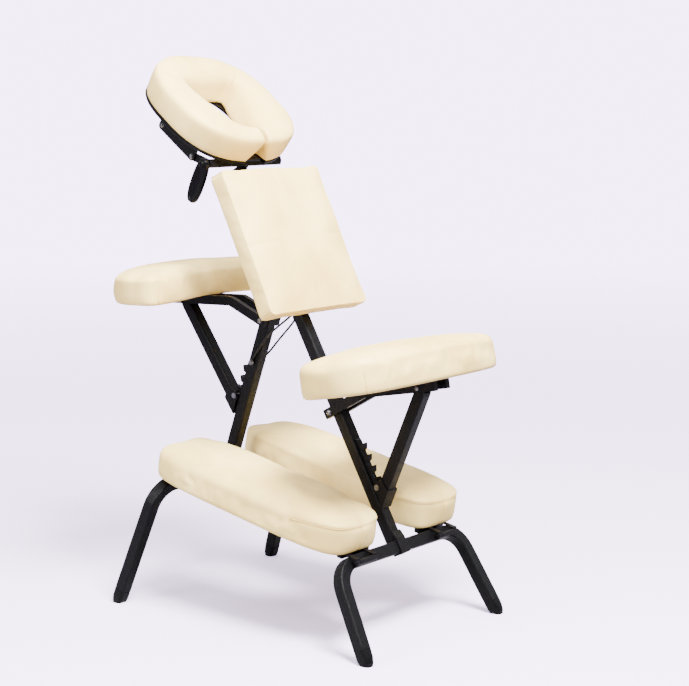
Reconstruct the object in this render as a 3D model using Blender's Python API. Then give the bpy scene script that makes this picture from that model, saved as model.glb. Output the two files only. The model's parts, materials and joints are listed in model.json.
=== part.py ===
"""Kneeling massage chair: an A-shaped folding steel frame with padded supports.

Units are metres, +Z is up, the floor is z = 0 and the chair's plane of symmetry is x = 0.
The sitter faces -Y: the face cradle and the armrest are at the -Y end, the seat at the +Y end.
Sizes are worked out in a frame whose y = 0 is midway between the front and the rear feet.
The empty named "chair" then carries everything to the middle of the overall length.
"""

import math

import bmesh
import bpy
from mathutils import Matrix, Vector

# ---- driving dimensions ------------------------------------------------------------------
MID_Y = 0.0406            # from the middle of the overall length to midway between the feet

TUBE = 0.0254             # square steel tube, outside
WALL = 0.0015
CORNER = 0.0025           # outside corner radius of the tube
GAP = 0.0003              # between faces that touch
BOLT_R = 0.004            # M8 bolts

REAR_LEAN = math.radians(29.6)      # main beam from the vertical, its top towards -Y
REAR_FLOOR_Y = 0.3343               # where the beam's centreline meets the floor
FRONT_LEAN = math.radians(20.0)     # front strut from the vertical, its top towards +Y
FRONT_FLOOR_Y = -0.3375

REAR_BAR_S = 0.1965       # rear crossbar, up along the beam from the floor
REAR_BAR_OUT = 0.004      # and out of the beam's middle plane
REAR_BEND_X = 0.196
REAR_FOOT_X = 0.215
FRONT_BAR_S = 0.2832
FRONT_BEND_X = 0.213
FRONT_FOOT_X = 0.240
BEND_R = 0.055            # centreline radius of the bends

BEAM_TOP_S = 1.030
HINGE_OUT = 0.031         # frame hinge, in front of the beam's centreline
CHEST_SLIDE_S = 0.915     # middle of the chest pad's carriage

SEAT_PIVOT = (0.0775, 0.4365)
SEAT_STRUT_TOP = (0.3060, 0.5135)
SEAT_STRUT_FOOT = (0.1972, 0.2936)
ARM_PIVOT = (-0.1168, 0.6110)
ARM_STRUT_TOP = (-0.3590, 0.6355)
ARM_STRUT_FOOT = (-0.2035, 0.4380)
RACK_PITCH = 0.025
RACK_FLOOR = 0.0045       # notch floor and tooth tip, off the tube's face
RACK_DEPTH = 0.0165
PIN_R = 0.004             # catch pins, and how far they sit off their strut's centreline
PIN_OUT = 0.0125
SIDE_ARM = (0.0137, 0.0257)         # inner and outer face of the side arms, from x = 0
ARM_DEPTH = 0.020

KNEE_X = 0.134
CRADLE_PIVOT = (-0.2270, 0.9590)
YOKE_BAR = (-0.1830, 0.9450)
LEVER_TIP = (-0.2180, 0.8740)
RAIL_X = (0.1100, 0.1140)

ROOT = "chair"


# ---- the two lines of the frame ------------------------------------------------------------
class Lean:
    """A frame member's line in the YZ plane: s runs up it from the floor, h out of it."""

    def __init__(self, floor_y, lean, side):
        self.foot = Vector((0.0, floor_y, 0.0))
        self.up = Vector((0.0, -side * math.sin(lean), math.cos(lean)))
        self.out = Vector((0.0, side * math.cos(lean), math.sin(lean)))

    def at(self, s, h=0.0, x=0.0):
        return self.foot + self.up * s + self.out * h + Vector((x, 0.0, 0.0))

    def s_of(self, y, z):
        return (Vector((0.0, y, z)) - self.foot).dot(self.up)

    def h_of(self, y, z):
        return (Vector((0.0, y, z)) - self.foot).dot(self.out)


REAR = Lean(REAR_FLOOR_Y, REAR_LEAN, 1.0)
FRONT = Lean(FRONT_FLOOR_Y, FRONT_LEAN, -1.0)


def hinge_point():
    """The frame hinge: on the front strut's centreline, HINGE_OUT in front of the beam's."""
    near, far = 0.0, 1.0
    for _ in range(60):
        middle = (near + far) / 2
        point = FRONT.at(middle)
        if REAR.h_of(point.y, point.z) < -HINGE_OUT:
            near = middle
        else:
            far = middle
    return FRONT.at(near)


HINGE = hinge_point()


# ---- scene, bodies and materials -------------------------------------------------------------
def clear_scene():
    for obj in list(bpy.data.objects):
        bpy.data.objects.remove(obj, do_unlink=True)


BODIES = {}


def add_body(name, point, parent=None):
    """An empty on a body's joint axis; the body's pieces are its children."""
    empty = bpy.data.objects.new(name, None)
    empty.empty_display_size = 0.03
    bpy.context.collection.objects.link(empty)
    point = Vector(point)
    if parent:
        holder, start = BODIES[parent]
        empty.parent = holder
        empty.location = point - start
    else:
        empty.location = Vector((0.0, MID_Y, 0.0)) + point
    BODIES[name] = (empty, point)


def axis_point(pair, x=0.0):
    return Vector((x, pair[0], pair[1]))


def make_bodies():
    add_body(ROOT, (0, 0, 0))
    add_body("front_frame_body", HINGE, ROOT)
    add_body("seat_pivot_body", axis_point(SEAT_PIVOT), ROOT)
    add_body("seat_body", axis_point(SEAT_PIVOT), "seat_pivot_body")
    add_body("seat_strut_pivot_body", axis_point(SEAT_STRUT_TOP), "seat_body")
    add_body("seat_strut_body", axis_point(SEAT_STRUT_TOP), "seat_strut_pivot_body")
    add_body("armrest_pivot_body", axis_point(ARM_PIVOT), "front_frame_body")
    add_body("armrest_body", axis_point(ARM_PIVOT), "armrest_pivot_body")
    add_body("armrest_strut_pivot_body", axis_point(ARM_STRUT_TOP), "armrest_body")
    add_body("armrest_strut_body", axis_point(ARM_STRUT_TOP), "armrest_strut_pivot_body")
    add_body("knee_left_body", knee_pivot(), ROOT)
    add_body("knee_right_body", knee_pivot(), ROOT)
    add_body("chest_body", REAR.at(CHEST_SLIDE_S), ROOT)
    add_body("post_knob_body", REAR.at(POST_KNOB_S, -TUBE / 2), ROOT)
    add_body("cradle_post_body", REAR.at(BEAM_TOP_S), ROOT)
    add_body("face_cradle_body", axis_point(CRADLE_PIVOT), "cradle_post_body")
    add_body("cam_lever_body", axis_point(YOKE_BAR), "cradle_post_body")


def add_material(name, colour, roughness, metallic):
    material = bpy.data.materials.new(name)
    material.use_nodes = True
    shader = material.node_tree.nodes["Principled BSDF"]
    shader.inputs["Base Color"].default_value = (*colour, 1.0)
    shader.inputs["Roughness"].default_value = roughness
    shader.inputs["Metallic"].default_value = metallic
    return material


def make_materials():
    return {
        "frame": add_material("powder_coat", (0.018, 0.018, 0.020), 0.45, 0.0),
        "zinc": add_material("zinc_steel", (0.62, 0.62, 0.63), 0.35, 1.0),
        "plastic": add_material("black_plastic", (0.012, 0.012, 0.013), 0.35, 0.0),
        "leather": add_material("cream_leather", (0.86, 0.79, 0.62), 0.45, 0.0),
        "wood": add_material("plywood", (0.55, 0.40, 0.24), 0.7, 0.0),
        "cable": add_material("coated_cable", (0.015, 0.015, 0.016), 0.4, 0.0),
    }


def finish(name, bm, material, body, smooth_deg=30.0):
    """Turns a bmesh in the chair's frame into an object whose origin is its body's axis."""
    empty, point = BODIES[body]
    bmesh.ops.recalc_face_normals(bm, faces=bm.faces)
    bmesh.ops.translate(bm, verts=bm.verts, vec=-point)
    mesh = bpy.data.meshes.new(name)
    bm.to_mesh(mesh)
    bm.free()
    mesh.shade_smooth()
    mesh.set_sharp_from_angle(angle=math.radians(smooth_deg))
    mesh.materials.append(material)
    obj = bpy.data.objects.new(name, mesh)
    bpy.context.collection.objects.link(obj)
    obj.parent = empty
    return obj


def boolean(obj, cutter, operation="DIFFERENCE"):
    """Adds a Boolean whose other operand stays in the file as a hidden guide."""
    cutter.hide_render = True
    cutter.display_type = "WIRE"
    modifier = obj.modifiers.new(operation.lower(), "BOOLEAN")
    modifier.operation = operation
    modifier.solver = "EXACT"
    modifier.object = cutter


def guide(name, bm, body):
    """A cutter or a second operand, in the chair's frame."""
    return finish(name + ".guide", bm, None, body)


# ---- basic shapes ----------------------------------------------------------------------------
def skin_rings(bm, rings, closed_ends=True):
    """Joins equal rings of points into a skin, and fills the first and the last."""
    loops = [[bm.verts.new(point) for point in ring] for ring in rings]
    for low, high in zip(loops, loops[1:]):
        count = len(low)
        for i in range(count):
            j = (i + 1) % count
            bm.faces.new((low[i], low[j], high[j], high[i]))
    if closed_ends:
        bm.faces.new(list(reversed(loops[0])))
        bm.faces.new(loops[-1])
    return loops


def rounded_square(size, radius, steps):
    """Corner points of a square with rounded corners, about the origin."""
    points = []
    reach = size / 2 - radius
    for quarter in range(4):
        middle = math.radians(45 + 90 * quarter)
        corner = Vector((math.copysign(reach, math.cos(middle)),
                         math.copysign(reach, math.sin(middle))))
        for i in range(steps + 1):
            angle = math.radians(90 * quarter + 90 * i / steps)
            points.append(corner + radius * Vector((math.cos(angle), math.sin(angle))))
    return points


def fillet_path(corners, radius, steps):
    """A polyline whose inner corners are arcs of the given radius."""
    path = [corners[0]]
    for before, corner, after in zip(corners, corners[1:], corners[2:]):
        back = (before - corner).normalized()
        ahead = (after - corner).normalized()
        half = back.angle(ahead) / 2
        reach = radius / math.tan(half)
        centre = corner + (back + ahead).normalized() * radius / math.sin(half)
        start = corner + back * reach - centre
        axis = back.cross(ahead).normalized()
        sweep = -(math.pi - 2 * half)
        for i in range(steps + 1):
            path.append(centre + Matrix.Rotation(sweep * i / steps, 3, axis) @ start)
    path.append(corners[-1])
    return path


def swept_rings(path, flat_normal, profile):
    """Copies of a 2-D profile across a flat path, square to it everywhere."""
    rings = []
    for i, point in enumerate(path):
        behind = path[max(i - 1, 0)]
        ahead = path[min(i + 1, len(path) - 1)]
        along = (ahead - behind).normalized()
        side = along.cross(flat_normal)
        rings.append([point + flat_normal * p.x + side * p.y for p in profile])
    return rings


def square_tube(name, corners, flat_normal, material, body, size=TUBE, bend=BEND_R, trim=None):
    """Hollow square tube along a flat path, open at both ends; trim is (point, normal)."""
    path = fillet_path(corners, bend, 8)
    bm = bmesh.new()
    outer = skin_rings(
        bm, swept_rings(path, flat_normal, rounded_square(size, CORNER, 2)), False)
    inner = skin_rings(
        bm, swept_rings(path, flat_normal, rounded_square(size - 2 * WALL, 0.001, 1)), False)
    if trim:
        along = (corners[-1] - corners[-2]).normalized()
        for vert in outer[-1] + inner[-1]:
            vert.co += along * (trim[0] - vert.co).dot(trim[1]) / along.dot(trim[1])
    for end in (0, -1):
        edges = []
        for loop in (outer[end], inner[end]):
            edges += [bm.edges.get((a, b)) for a, b in zip(loop, loop[1:] + loop[:1])]
        bmesh.ops.triangle_fill(bm, edges=edges, use_beauty=True)
    return finish(name, bm, material, body)


def slab(outline, x_low, x_high):
    """A flat outline of (y, z) points, extruded along X."""
    bm = bmesh.new()
    skin_rings(bm, [[Vector((x, y, z)) for y, z in outline] for x in (x_low, x_high)])
    return bm


def capsule(start, end, radius, steps=6):
    """Outline in (y, z) of a bar with round ends."""
    start, end = Vector(start), Vector(end)
    along = (end - start).normalized()
    side = Vector((-along.y, along.x))
    points = []
    for centre, sign in ((end, 1.0), (start, -1.0)):
        for i in range(steps + 1):
            angle = math.pi * (i / steps - 0.5)
            offset = sign * (math.cos(angle) * along + math.sin(angle) * side)
            points.append(tuple(centre + radius * offset))
    return points


def turned(name, centre, profile, material, body, sides=14):
    """A solid of revolution about an X axis; profile is (x, radius) pairs in order."""
    bm = bmesh.new()
    rings = []
    for x, radius in profile:
        rings.append([
            centre + Vector((x, radius * math.cos(2 * math.pi * i / sides),
                             radius * math.sin(2 * math.pi * i / sides)))
            for i in range(sides)])
    skin_rings(bm, rings)
    return finish(name, bm, material, body)


def drill(obj, name, centre, radius, half_length, body, sides=16):
    bore = turned(name + ".guide", centre,
                  [(-half_length, radius), (half_length, radius)], None, body, sides)
    boolean(obj, bore)


def through_bolt(name, centre, reach, material, body, head=0.0075):
    """A bolt along X with a domed head at +X and a nut at -X; reach is half its grip."""
    grip = reach + GAP
    profile = [
        (-grip - 0.0060, 0.0045), (-grip - 0.0055, head - 0.001), (-grip, head - 0.001),
        (-grip + 1e-5, BOLT_R), (grip - 1e-5, BOLT_R), (grip, head),
        (grip + 0.0025, head), (grip + 0.0042, head * 0.6)]
    turned(name, centre, profile, material, body)


# ---- frames -------------------------------------------------------------------------------
def base_path(line, bar_s, bar_h, bend_x, foot_x, end_s):
    left = [line.at(end_s, bar_h, -foot_x), line.at(bar_s, bar_h, -bend_x)]
    right = [line.at(bar_s, bar_h, bend_x), line.at(end_s, bar_h, foot_x)]
    return left + right


def foot_cap(name, tube_end, down, flat_normal, material, body):
    """End plug of a leg: a spigot inside the tube and a rounded foot, flat on the floor."""
    steps = [(-0.016, 0.0205), (0.0, 0.0205), (GAP, 0.0272), (0.010, 0.0272),
             (0.020, 0.0262), (0.030, 0.0225), (0.037, 0.0160)]
    rings = []
    side = down.cross(flat_normal)
    for reach, size in steps:
        rings.append([tube_end + down * reach + flat_normal * p.x + side * p.y
                      for p in rounded_square(size, min(0.006, size * 0.28), 3)])
    bm = bmesh.new()
    skin_rings(bm, rings)
    cut = bmesh.ops.bisect_plane(
        bm, geom=bm.verts[:] + bm.edges[:] + bm.faces[:], dist=1e-6,
        plane_co=(0, 0, 0), plane_no=(0, 0, -1), clear_outer=True)
    rim = [e for e in cut["geom_cut"] if isinstance(e, bmesh.types.BMEdge)]
    bmesh.ops.contextual_create(bm, geom=rim)
    return finish(name, bm, material, body)


FOOT_END_S = 0.030


def make_base(prefix, line, bar_s, bar_h, bend_x, foot_x, mats, body):
    corners = base_path(line, bar_s, bar_h, bend_x, foot_x, FOOT_END_S)
    square_tube(prefix + "_base", corners, line.out, mats["frame"], body)
    for side, end, bend in (("right", corners[0], corners[1]), ("left", corners[3], corners[2])):
        down = (end - bend).normalized()
        foot_cap(f"{prefix}_foot_{side}", end, down, line.out, mats["plastic"], body)


def make_rear_frame(mats):
    make_base("rear", REAR, REAR_BAR_S, REAR_BAR_OUT, REAR_BEND_X, REAR_FOOT_X, mats, ROOT)
    bottom = REAR.at(REAR_BAR_S + TUBE / 2 + GAP)
    beam = square_tube("main_beam", [bottom, REAR.at(BEAM_TOP_S)], REAR.out, mats["frame"], ROOT)
    drill(beam, "seat_pivot_bore", axis_point(SEAT_PIVOT), BOLT_R + GAP, 0.03, ROOT)
    knob_hole = turned_along(
        REAR.at(POST_KNOB_S, -TUBE / 2 - 0.003), REAR.out, [(0, 0.0045), (0.008, 0.0045)], 12)
    boolean(beam, guide("knob_bore", knob_hole, ROOT))
    make_saddle("beam_saddle", REAR, REAR_BAR_S, REAR_BAR_OUT, mats, ROOT)
    make_rack("seat_rack", REAR, REAR.s_of(*SEAT_STRUT_FOOT), 4, mats, ROOT)
    make_hinge_bracket(mats)
    make_cable_anchor(mats)
    for side, sign in (("left", 1.0), ("right", -1.0)):
        make_knee_lug(side, sign, mats)


def make_saddle(name, line, bar_s, bar, mats, body):
    """Bent strap that ties an upright's foot over its crossbar."""
    half = TUBE / 2 + GAP
    thick = 0.003
    outline = [
        (bar_s + half + 0.020, half), (bar_s + half, half), (bar_s + half, bar + half),
        (bar_s - half, bar + half), (bar_s - half, bar - 0.008),
        (bar_s - half - thick, bar - 0.008), (bar_s - half - thick, bar + half + thick),
        (bar_s + half + 0.004, bar + half + thick), (bar_s + half + 0.020, half + thick)]
    points = [line.at(s, h) for s, h in outline]
    finish(name, slab([(p.y, p.z) for p in points], -0.0135, 0.0135), mats["frame"], body)


def make_rack(name, line, pin_s, above, mats, body):
    """Toothed rack on a tube's outer face; the strut's catch pin rests on a tooth's top."""
    base = TUBE / 2 + GAP
    floor = base + RACK_FLOOR
    tip = base + RACK_DEPTH
    first = pin_s - PIN_R - GAP
    points = [(first - 0.0185, base), (first - 0.0165, floor)]
    for i in range(above + 1):
        top = first + i * RACK_PITCH
        points += [(top - 0.0125, floor), (top - 0.0110, tip - 0.006), (top, tip), (top, floor)]
    high = points[-1][0] + 0.012
    points += [(high, floor), (high + 0.004, base)]
    outline = [line.at(s, h) for s, h in points]
    finish(name, slab([(p.y, p.z) for p in outline], -0.0070, 0.0070), mats["frame"], body)


def make_hinge_bracket(mats):
    """U-shaped lug: its web lies behind the beam, its ears reach forward to the hinge bolt."""
    hinge_s = REAR.s_of(HINGE.y, HINGE.z)
    inner = TUBE / 2 + GAP
    outline = [REAR.at(hinge_s + 0.025, inner + 0.003), REAR.at(hinge_s + 0.025, -TUBE / 2)]
    for i in range(7):
        angle = math.pi * i / 6
        outline.append(REAR.at(hinge_s + 0.015 * math.cos(angle),
                               -HINGE_OUT - 0.015 * math.sin(angle)))
    outline += [REAR.at(hinge_s - 0.025, -TUBE / 2), REAR.at(hinge_s - 0.025, inner + 0.003)]
    bracket = finish("frame_hinge_bracket",
                     slab([(p.y, p.z) for p in outline], -inner - 0.003, inner + 0.003),
                     mats["frame"], ROOT)
    hollow = [REAR.at(hinge_s + s, h) for s, h in
              ((0.05, inner), (0.05, -0.08), (-0.05, -0.08), (-0.05, inner))]
    boolean(bracket, guide("hinge_slot", slab([(p.y, p.z) for p in hollow], -inner, inner), ROOT))
    drill(bracket, "hinge_bore", HINGE, BOLT_R + GAP, 0.03, ROOT)
    through_bolt("frame_hinge_bolt", HINGE, inner + 0.003, mats["zinc"], ROOT)


def make_front_frame(mats):
    body = "front_frame_body"
    make_base("front", FRONT, FRONT_BAR_S, 0.0, FRONT_BEND_X, FRONT_FOOT_X, mats, body)
    top = FRONT.s_of(HINGE.y, HINGE.z) + 0.011
    strut = square_tube("front_strut", [FRONT.at(FRONT_BAR_S + TUBE / 2 + GAP), FRONT.at(top)],
                        FRONT.out, mats["frame"], body)
    drill(strut, "strut_hinge_bore", HINGE, BOLT_R + GAP, 0.03, body)
    drill(strut, "armrest_pivot_bore", axis_point(ARM_PIVOT), BOLT_R + GAP, 0.03, body)
    drill(strut, "cable_bolt_bore", FRONT.at(CABLE_BOLT_S), 0.003 + GAP, 0.03, body)
    make_saddle("strut_saddle", FRONT, FRONT_BAR_S, 0.0, mats, body)
    make_rack("armrest_rack", FRONT, FRONT.s_of(*ARM_STRUT_FOOT), 3, mats, body)
    reach = TUBE / 2 + GAP
    turned("cable_bolt", FRONT.at(CABLE_BOLT_S),
           [(-reach - 0.0092, 0.0050), (-reach - 0.0056, 0.0065), (-reach - 0.0054, 0.0030),
            (reach + 0.0054, 0.0030), (reach + 0.0056, 0.0070), (reach + 0.0095, 0.0050)],
           mats["zinc"], body)


# ---- stay cable ----------------------------------------------------------------------------
CABLE_BOLT_S = 0.5500
CABLE_R = 0.0018
ANCHOR_S = 0.7250
ANCHOR_R = 0.004
ANCHOR_OUT = 0.0045       # the nose's centre, off the beam's front face


def make_cable_anchor(mats):
    """Low round-nosed tab in front of the beam that the stay cable passes over."""
    start = REAR.at(ANCHOR_S, 0.0)
    nose = REAR.at(ANCHOR_S, -TUBE / 2 - ANCHOR_OUT)
    outline = capsule((start.y, start.z), (nose.y, nose.z), ANCHOR_R)
    kept = [(y, z) for y, z in outline if REAR.h_of(y, z) <= -TUBE / 2 - GAP + 1e-6]
    finish("cable_anchor", slab(kept, -0.0030, 0.0030), mats["frame"], ROOT)


def make_stay_cable(mats):
    """One cable from the bolt's near end, up over the anchor tab and back to its far end."""
    bolt = FRONT.at(CABLE_BOLT_S)
    over = REAR.at(ANCHOR_S + ANCHOR_R + CABLE_R + 0.002, -TUBE / 2 - ANCHOR_OUT)
    side = TUBE / 2 + 0.0030
    rise = 0.0032 + CABLE_R + GAP
    knots = [
        Vector((side, bolt.y + 0.001, bolt.z + rise)),
        Vector((side, bolt.y + 0.018, bolt.z + 0.028)),
        Vector((side - 0.001, bolt.y + 0.046, bolt.z + 0.062)),
        Vector((0.0110, over.y - 0.012, over.z - 0.012)),
        Vector((0.0, over.y, over.z)),
        Vector((-0.0110, over.y - 0.009, over.z - 0.016)),
        Vector((0.001 - side, bolt.y + 0.052, bolt.z + 0.052)),
        Vector((-side, bolt.y + 0.022, bolt.z + 0.022)),
        Vector((-side, bolt.y + 0.001, bolt.z + rise))]
    bm = bmesh.new()
    skin_rings(bm, round_rings(smooth_points(knots, 5), CABLE_R, 8))
    finish("stay_cable", bm, mats["cable"], "front_frame_body", 60)


def round_rings(path, radius, sides):
    """Circles square to a curve in space, without twist."""
    rings = []
    across = (path[1] - path[0]).orthogonal().normalized()
    for i, point in enumerate(path):
        along = (path[min(i + 1, len(path) - 1)] - path[max(i - 1, 0)]).normalized()
        across = (across - along * across.dot(along)).normalized()
        other = along.cross(across)
        rings.append([point + radius * (across * math.cos(2 * math.pi * k / sides)
                                        + other * math.sin(2 * math.pi * k / sides))
                      for k in range(sides)])
    return rings


def smooth_points(knots, steps):
    """Points of a Catmull-Rom curve through the knots."""
    padded = [2 * knots[0] - knots[1]] + knots + [2 * knots[-1] - knots[-2]]
    points = []
    for a, b, c, d in zip(padded, padded[1:], padded[2:], padded[3:]):
        for i in range(steps):
            t = i / steps
            points.append(0.5 * (2 * b + (c - a) * t + (2 * a - 5 * b + 4 * c - d) * t ** 2
                                 + (3 * b - a - 3 * c + d) * t ** 3))
    return points + [knots[-1]]


# ---- pads -------------------------------------------------------------------------------
class PadPlace:
    """A pad's own frame: u is chair X, v runs along the pad, w is out of its top face."""

    def __init__(self, y, z, tilt_deg, x=0.0):
        self.centre = Vector((x, y, z))
        tilt = math.radians(tilt_deg)
        self.v = Vector((0.0, math.cos(tilt), math.sin(tilt)))
        self.w = Vector((0.0, -math.sin(tilt), math.cos(tilt)))

    def at(self, u, v, w):
        return self.centre + Vector((u, 0.0, 0.0)) + self.v * v + self.w * w


def superellipse(half_u, half_v, power, count):
    points = []
    for i in range(count):
        angle = 2 * math.pi * (i + 0.5) / count
        c, s = math.cos(angle), math.sin(angle)
        points.append((half_u * math.copysign(abs(c) ** (2 / power), c),
                       half_v * math.copysign(abs(s) ** (2 / power), s)))
    return points


def kidney(outline, half_u, sweep, hollow, reach):
    """Sweeps an outline's ends towards +v, and hollows the middle of its +v side."""
    points = []
    for u, v in outline:
        dip = hollow * math.cos(math.pi * u / (2 * reach)) ** 2 if v > 0 and abs(u) < reach else 0
        points.append((u, v + sweep * (u / half_u) ** 2 - dip))
    return points


def inset(outline, distance):
    """Moves every side of a convex-enough outline inwards by distance."""
    count = len(outline)
    result = []
    for i in range(count):
        before, here, after = (Vector(outline[(i + k) % count]) for k in (-1, 0, 1))
        along = (after - before).normalized()
        result.append(tuple(here + Vector((-along.y, along.x)) * distance))
    return result


def pad_solid(place, outline, thickness, crown, edge, centre_v=0.0):
    """Crowned cushion: straight sides, a rounded top edge and a domed top."""
    levels = [(0.004, -thickness), (0.0, -thickness + 0.008), (0.0, -edge),
              (edge * 0.3, -edge * 0.3), (edge, 0.0)]
    rings = [[place.at(u, v, w) for u, v in inset(outline, step)] for step, w in levels]
    rim = inset(outline, edge)
    for scale in (0.72, 0.40):
        rise = crown * (1 - scale ** 2)
        rings.append([place.at(u * scale, centre_v + (v - centre_v) * scale, rise)
                      for u, v in rim])
    bm = bmesh.new()
    loops = skin_rings(bm, rings, False)
    bm.faces.new(list(reversed(loops[0])))
    peak = bm.verts.new(place.at(0.0, centre_v, crown))
    top = loops[-1]
    for i, vert in enumerate(top):
        bm.faces.new((vert, top[(i + 1) % len(top)], peak))
    return bm


def make_pad(prefix, place, outline, thickness, crown, edge, board, mats, body, centre_v=0.0):
    """A cushion with its plywood board let into the back; board is (inset, thickness)."""
    pad = finish(prefix + "_pad", pad_solid(place, outline, thickness, crown, edge, centre_v),
                 mats["leather"], body, 40)
    board_inset, board_thick = board
    back = -thickness
    pocket = bmesh.new()
    skin_rings(pocket, [[place.at(u, v, w) for u, v in inset(outline, board_inset - GAP)]
                        for w in (back - 0.01, back + board_thick + GAP)])
    boolean(pad, guide(prefix + "_pocket", pocket, body))
    wood = bmesh.new()
    skin_rings(wood, [[place.at(u, v, w) for u, v in inset(outline, board_inset)]
                      for w in (back, back + board_thick)])
    finish(prefix + "_board", wood, mats["wood"], body)


SEAT_PLACE = PadPlace(0.2380, 0.5830, 10.9)
SEAT_THICK = 0.070
KNEE_TILT = -10.5
KNEE_THICK = 0.066
ARM_PLACE = PadPlace(-0.3304, 0.7110, 2.5)
ARM_THICK = 0.060
CHEST_PLACE = PadPlace(-0.0346, 0.7926, -63.8)
CHEST_THICK = 0.040
CRADLE_PLACE = PadPlace(-0.2328, 1.0799, -37.0)
CRADLE_THICK = 0.057


def make_side_arms(prefix, points, bores, mats, body):
    """Two bent flat arms, one each side of the frame tube, joined by a cross tube."""
    centre = [Vector((0.0, y, z)) for y, z in points]
    path = fillet_path(centre, 0.030, 5)
    normal = Vector((1.0, 0.0, 0.0))
    for side, sign in (("left", 1.0), ("right", -1.0)):
        bm = bmesh.new()
        profile = [Vector((sign * x, y)) for x, y in (
            (SIDE_ARM[0], -ARM_DEPTH / 2), (SIDE_ARM[1], -ARM_DEPTH / 2),
            (SIDE_ARM[1], ARM_DEPTH / 2), (SIDE_ARM[0], ARM_DEPTH / 2))]
        skin_rings(bm, swept_rings(path, normal, profile))
        arm = finish(f"{prefix}_arm_{side}", bm, mats["frame"], body)
        for number, bore in enumerate(bores):
            drill(arm, f"{prefix}_{side}_bore_{number}", axis_point(bore), BOLT_R + GAP, 0.04,
                  body)


def make_seat(mats):
    outline = superellipse(0.240, 0.118, 3.3, 40)
    make_pad("seat", SEAT_PLACE, outline, SEAT_THICK, 0.016, 0.014, (0.012, 0.009), mats,
             "seat_body")
    run = SEAT_THICK + GAP + ARM_DEPTH / 2
    bend = SEAT_PLACE.at(0, -0.088, -run)
    end = SEAT_PLACE.at(0, 0.097, -run)
    pivot = Vector(SEAT_PIVOT)
    slope = (Vector((bend.y, bend.z)) - pivot).normalized()
    start = pivot - slope * 0.014
    make_side_arms("seat", [tuple(start), (bend.y, bend.z), (end.y, end.z)],
                   (SEAT_PIVOT, SEAT_STRUT_TOP), mats, "seat_body")
    through_bolt("seat_pivot_bolt", axis_point(SEAT_PIVOT), SIDE_ARM[1], mats["zinc"],
                 "seat_pivot_body")
    make_prop("seat_strut", SEAT_STRUT_TOP, SEAT_STRUT_FOOT, 1.0, REAR, mats)


def make_armrest(mats):
    outline = kidney(superellipse(0.262, 0.100, 3.2, 56), 0.262, 0.095, 0.020, 0.170)
    outline = [(u, v - 0.020) for u, v in outline]
    make_pad("armrest", ARM_PLACE, outline, ARM_THICK, 0.014, 0.012, (0.012, 0.009), mats,
             "armrest_body", -0.010)
    run = ARM_THICK + GAP + ARM_DEPTH / 2
    end = ARM_PLACE.at(0, -0.055, -run)
    bend = ARM_PLACE.at(0, 0.122, -run)
    pivot = Vector(ARM_PIVOT)
    slope = (Vector((bend.y, bend.z)) - pivot).normalized()
    start = pivot - slope * 0.013
    make_side_arms("armrest", [tuple(start), (bend.y, bend.z), (end.y, end.z)],
                   (ARM_PIVOT, ARM_STRUT_TOP), mats, "armrest_body")
    through_bolt("armrest_pivot_bolt", axis_point(ARM_PIVOT), SIDE_ARM[1], mats["zinc"],
                 "armrest_pivot_body")
    make_prop("armrest_strut", ARM_STRUT_TOP, ARM_STRUT_FOOT, -1.0, FRONT, mats)


def make_prop(prefix, top, foot, side, rack_line, mats):
    """Prop strut: a tube hung from the pad's arms, with a clip and catch pin at its foot."""
    body = prefix + "_body"
    line = PropLine(top, foot, side)
    clear = TUBE / 2 + GAP + RACK_DEPTH + 0.0015
    tube = square_tube(prefix, [line.at(-0.014), line.at(line.length)], line.out, mats["frame"],
                       body, trim=(rack_line.at(0.0, clear), rack_line.out))
    boolean(tube, guide(prefix + "_nose", prop_nose(line), body))
    drill(tube, prefix + "_bore", axis_point(top), BOLT_R + GAP, 0.03, body)
    inner = TUBE / 2 + GAP
    outer = inner + 0.0025
    web_end = line.length
    while rack_line.h_of(line.at(web_end, inner).y, line.at(web_end, inner).z) > inner + 0.001:
        web_end += 0.0005
    nose = line.length + 0.009
    outline = [line.at(web_end - 0.042, outer), line.at(web_end, outer),
               line.at(nose + 0.006, -0.004), line.at(nose, -PIN_OUT - 0.006),
               line.at(nose - 0.010, -PIN_OUT - 0.009), line.at(nose - 0.019, -PIN_OUT - 0.005),
               line.at(nose - 0.034, -TUBE / 2), line.at(web_end - 0.048, 0.002)]
    clip = finish(prefix + "_clip", slab([(p.y, p.z) for p in outline], -outer, outer),
                  mats["frame"], body)
    hollow = [line.at(0.10, inner), line.at(0.35, inner), line.at(0.35, -0.08),
              line.at(0.10, -0.08)]
    boolean(clip, guide(prefix + "_clip_slot",
                        slab([(p.y, p.z) for p in hollow], -inner, inner), body))
    pin = axis_point(foot)
    drill(clip, prefix + "_pin_bore", pin, PIN_R + GAP, 0.03, body)
    grip = outer + GAP
    turned(prefix + "_pin", pin,
           [(-grip - 0.002, 0.0062), (-grip, 0.0062), (-grip + 1e-5, PIN_R),
            (grip - 1e-5, PIN_R), (grip, 0.0062), (grip + 0.002, 0.0062)], mats["zinc"], body)
    through_bolt(prefix + "_bolt", axis_point(top), SIDE_ARM[1], mats["zinc"],
                 prefix + "_pivot_body", 0.0065)


def prop_nose(line):
    """What is trimmed off a prop's upper end so that it can swing under its pad's board."""
    radius = 0.0093
    points = [line.at(0.022, TUBE / 2 + 0.001)]
    for i in range(9):
        angle = math.radians(12 + 112 * i / 8)
        points.append(line.at(-radius * math.sin(angle), radius * math.cos(angle)))
    last = math.radians(124)
    points.append(line.at(-radius * math.sin(last) - 0.016 * math.cos(last),
                          radius * math.cos(last) - 0.016 * math.sin(last)))
    points += [line.at(-0.040, -0.030), line.at(-0.040, 0.030), line.at(0.022, 0.030)]
    return slab([(p.y, p.z) for p in points], -0.02, 0.02)


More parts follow.
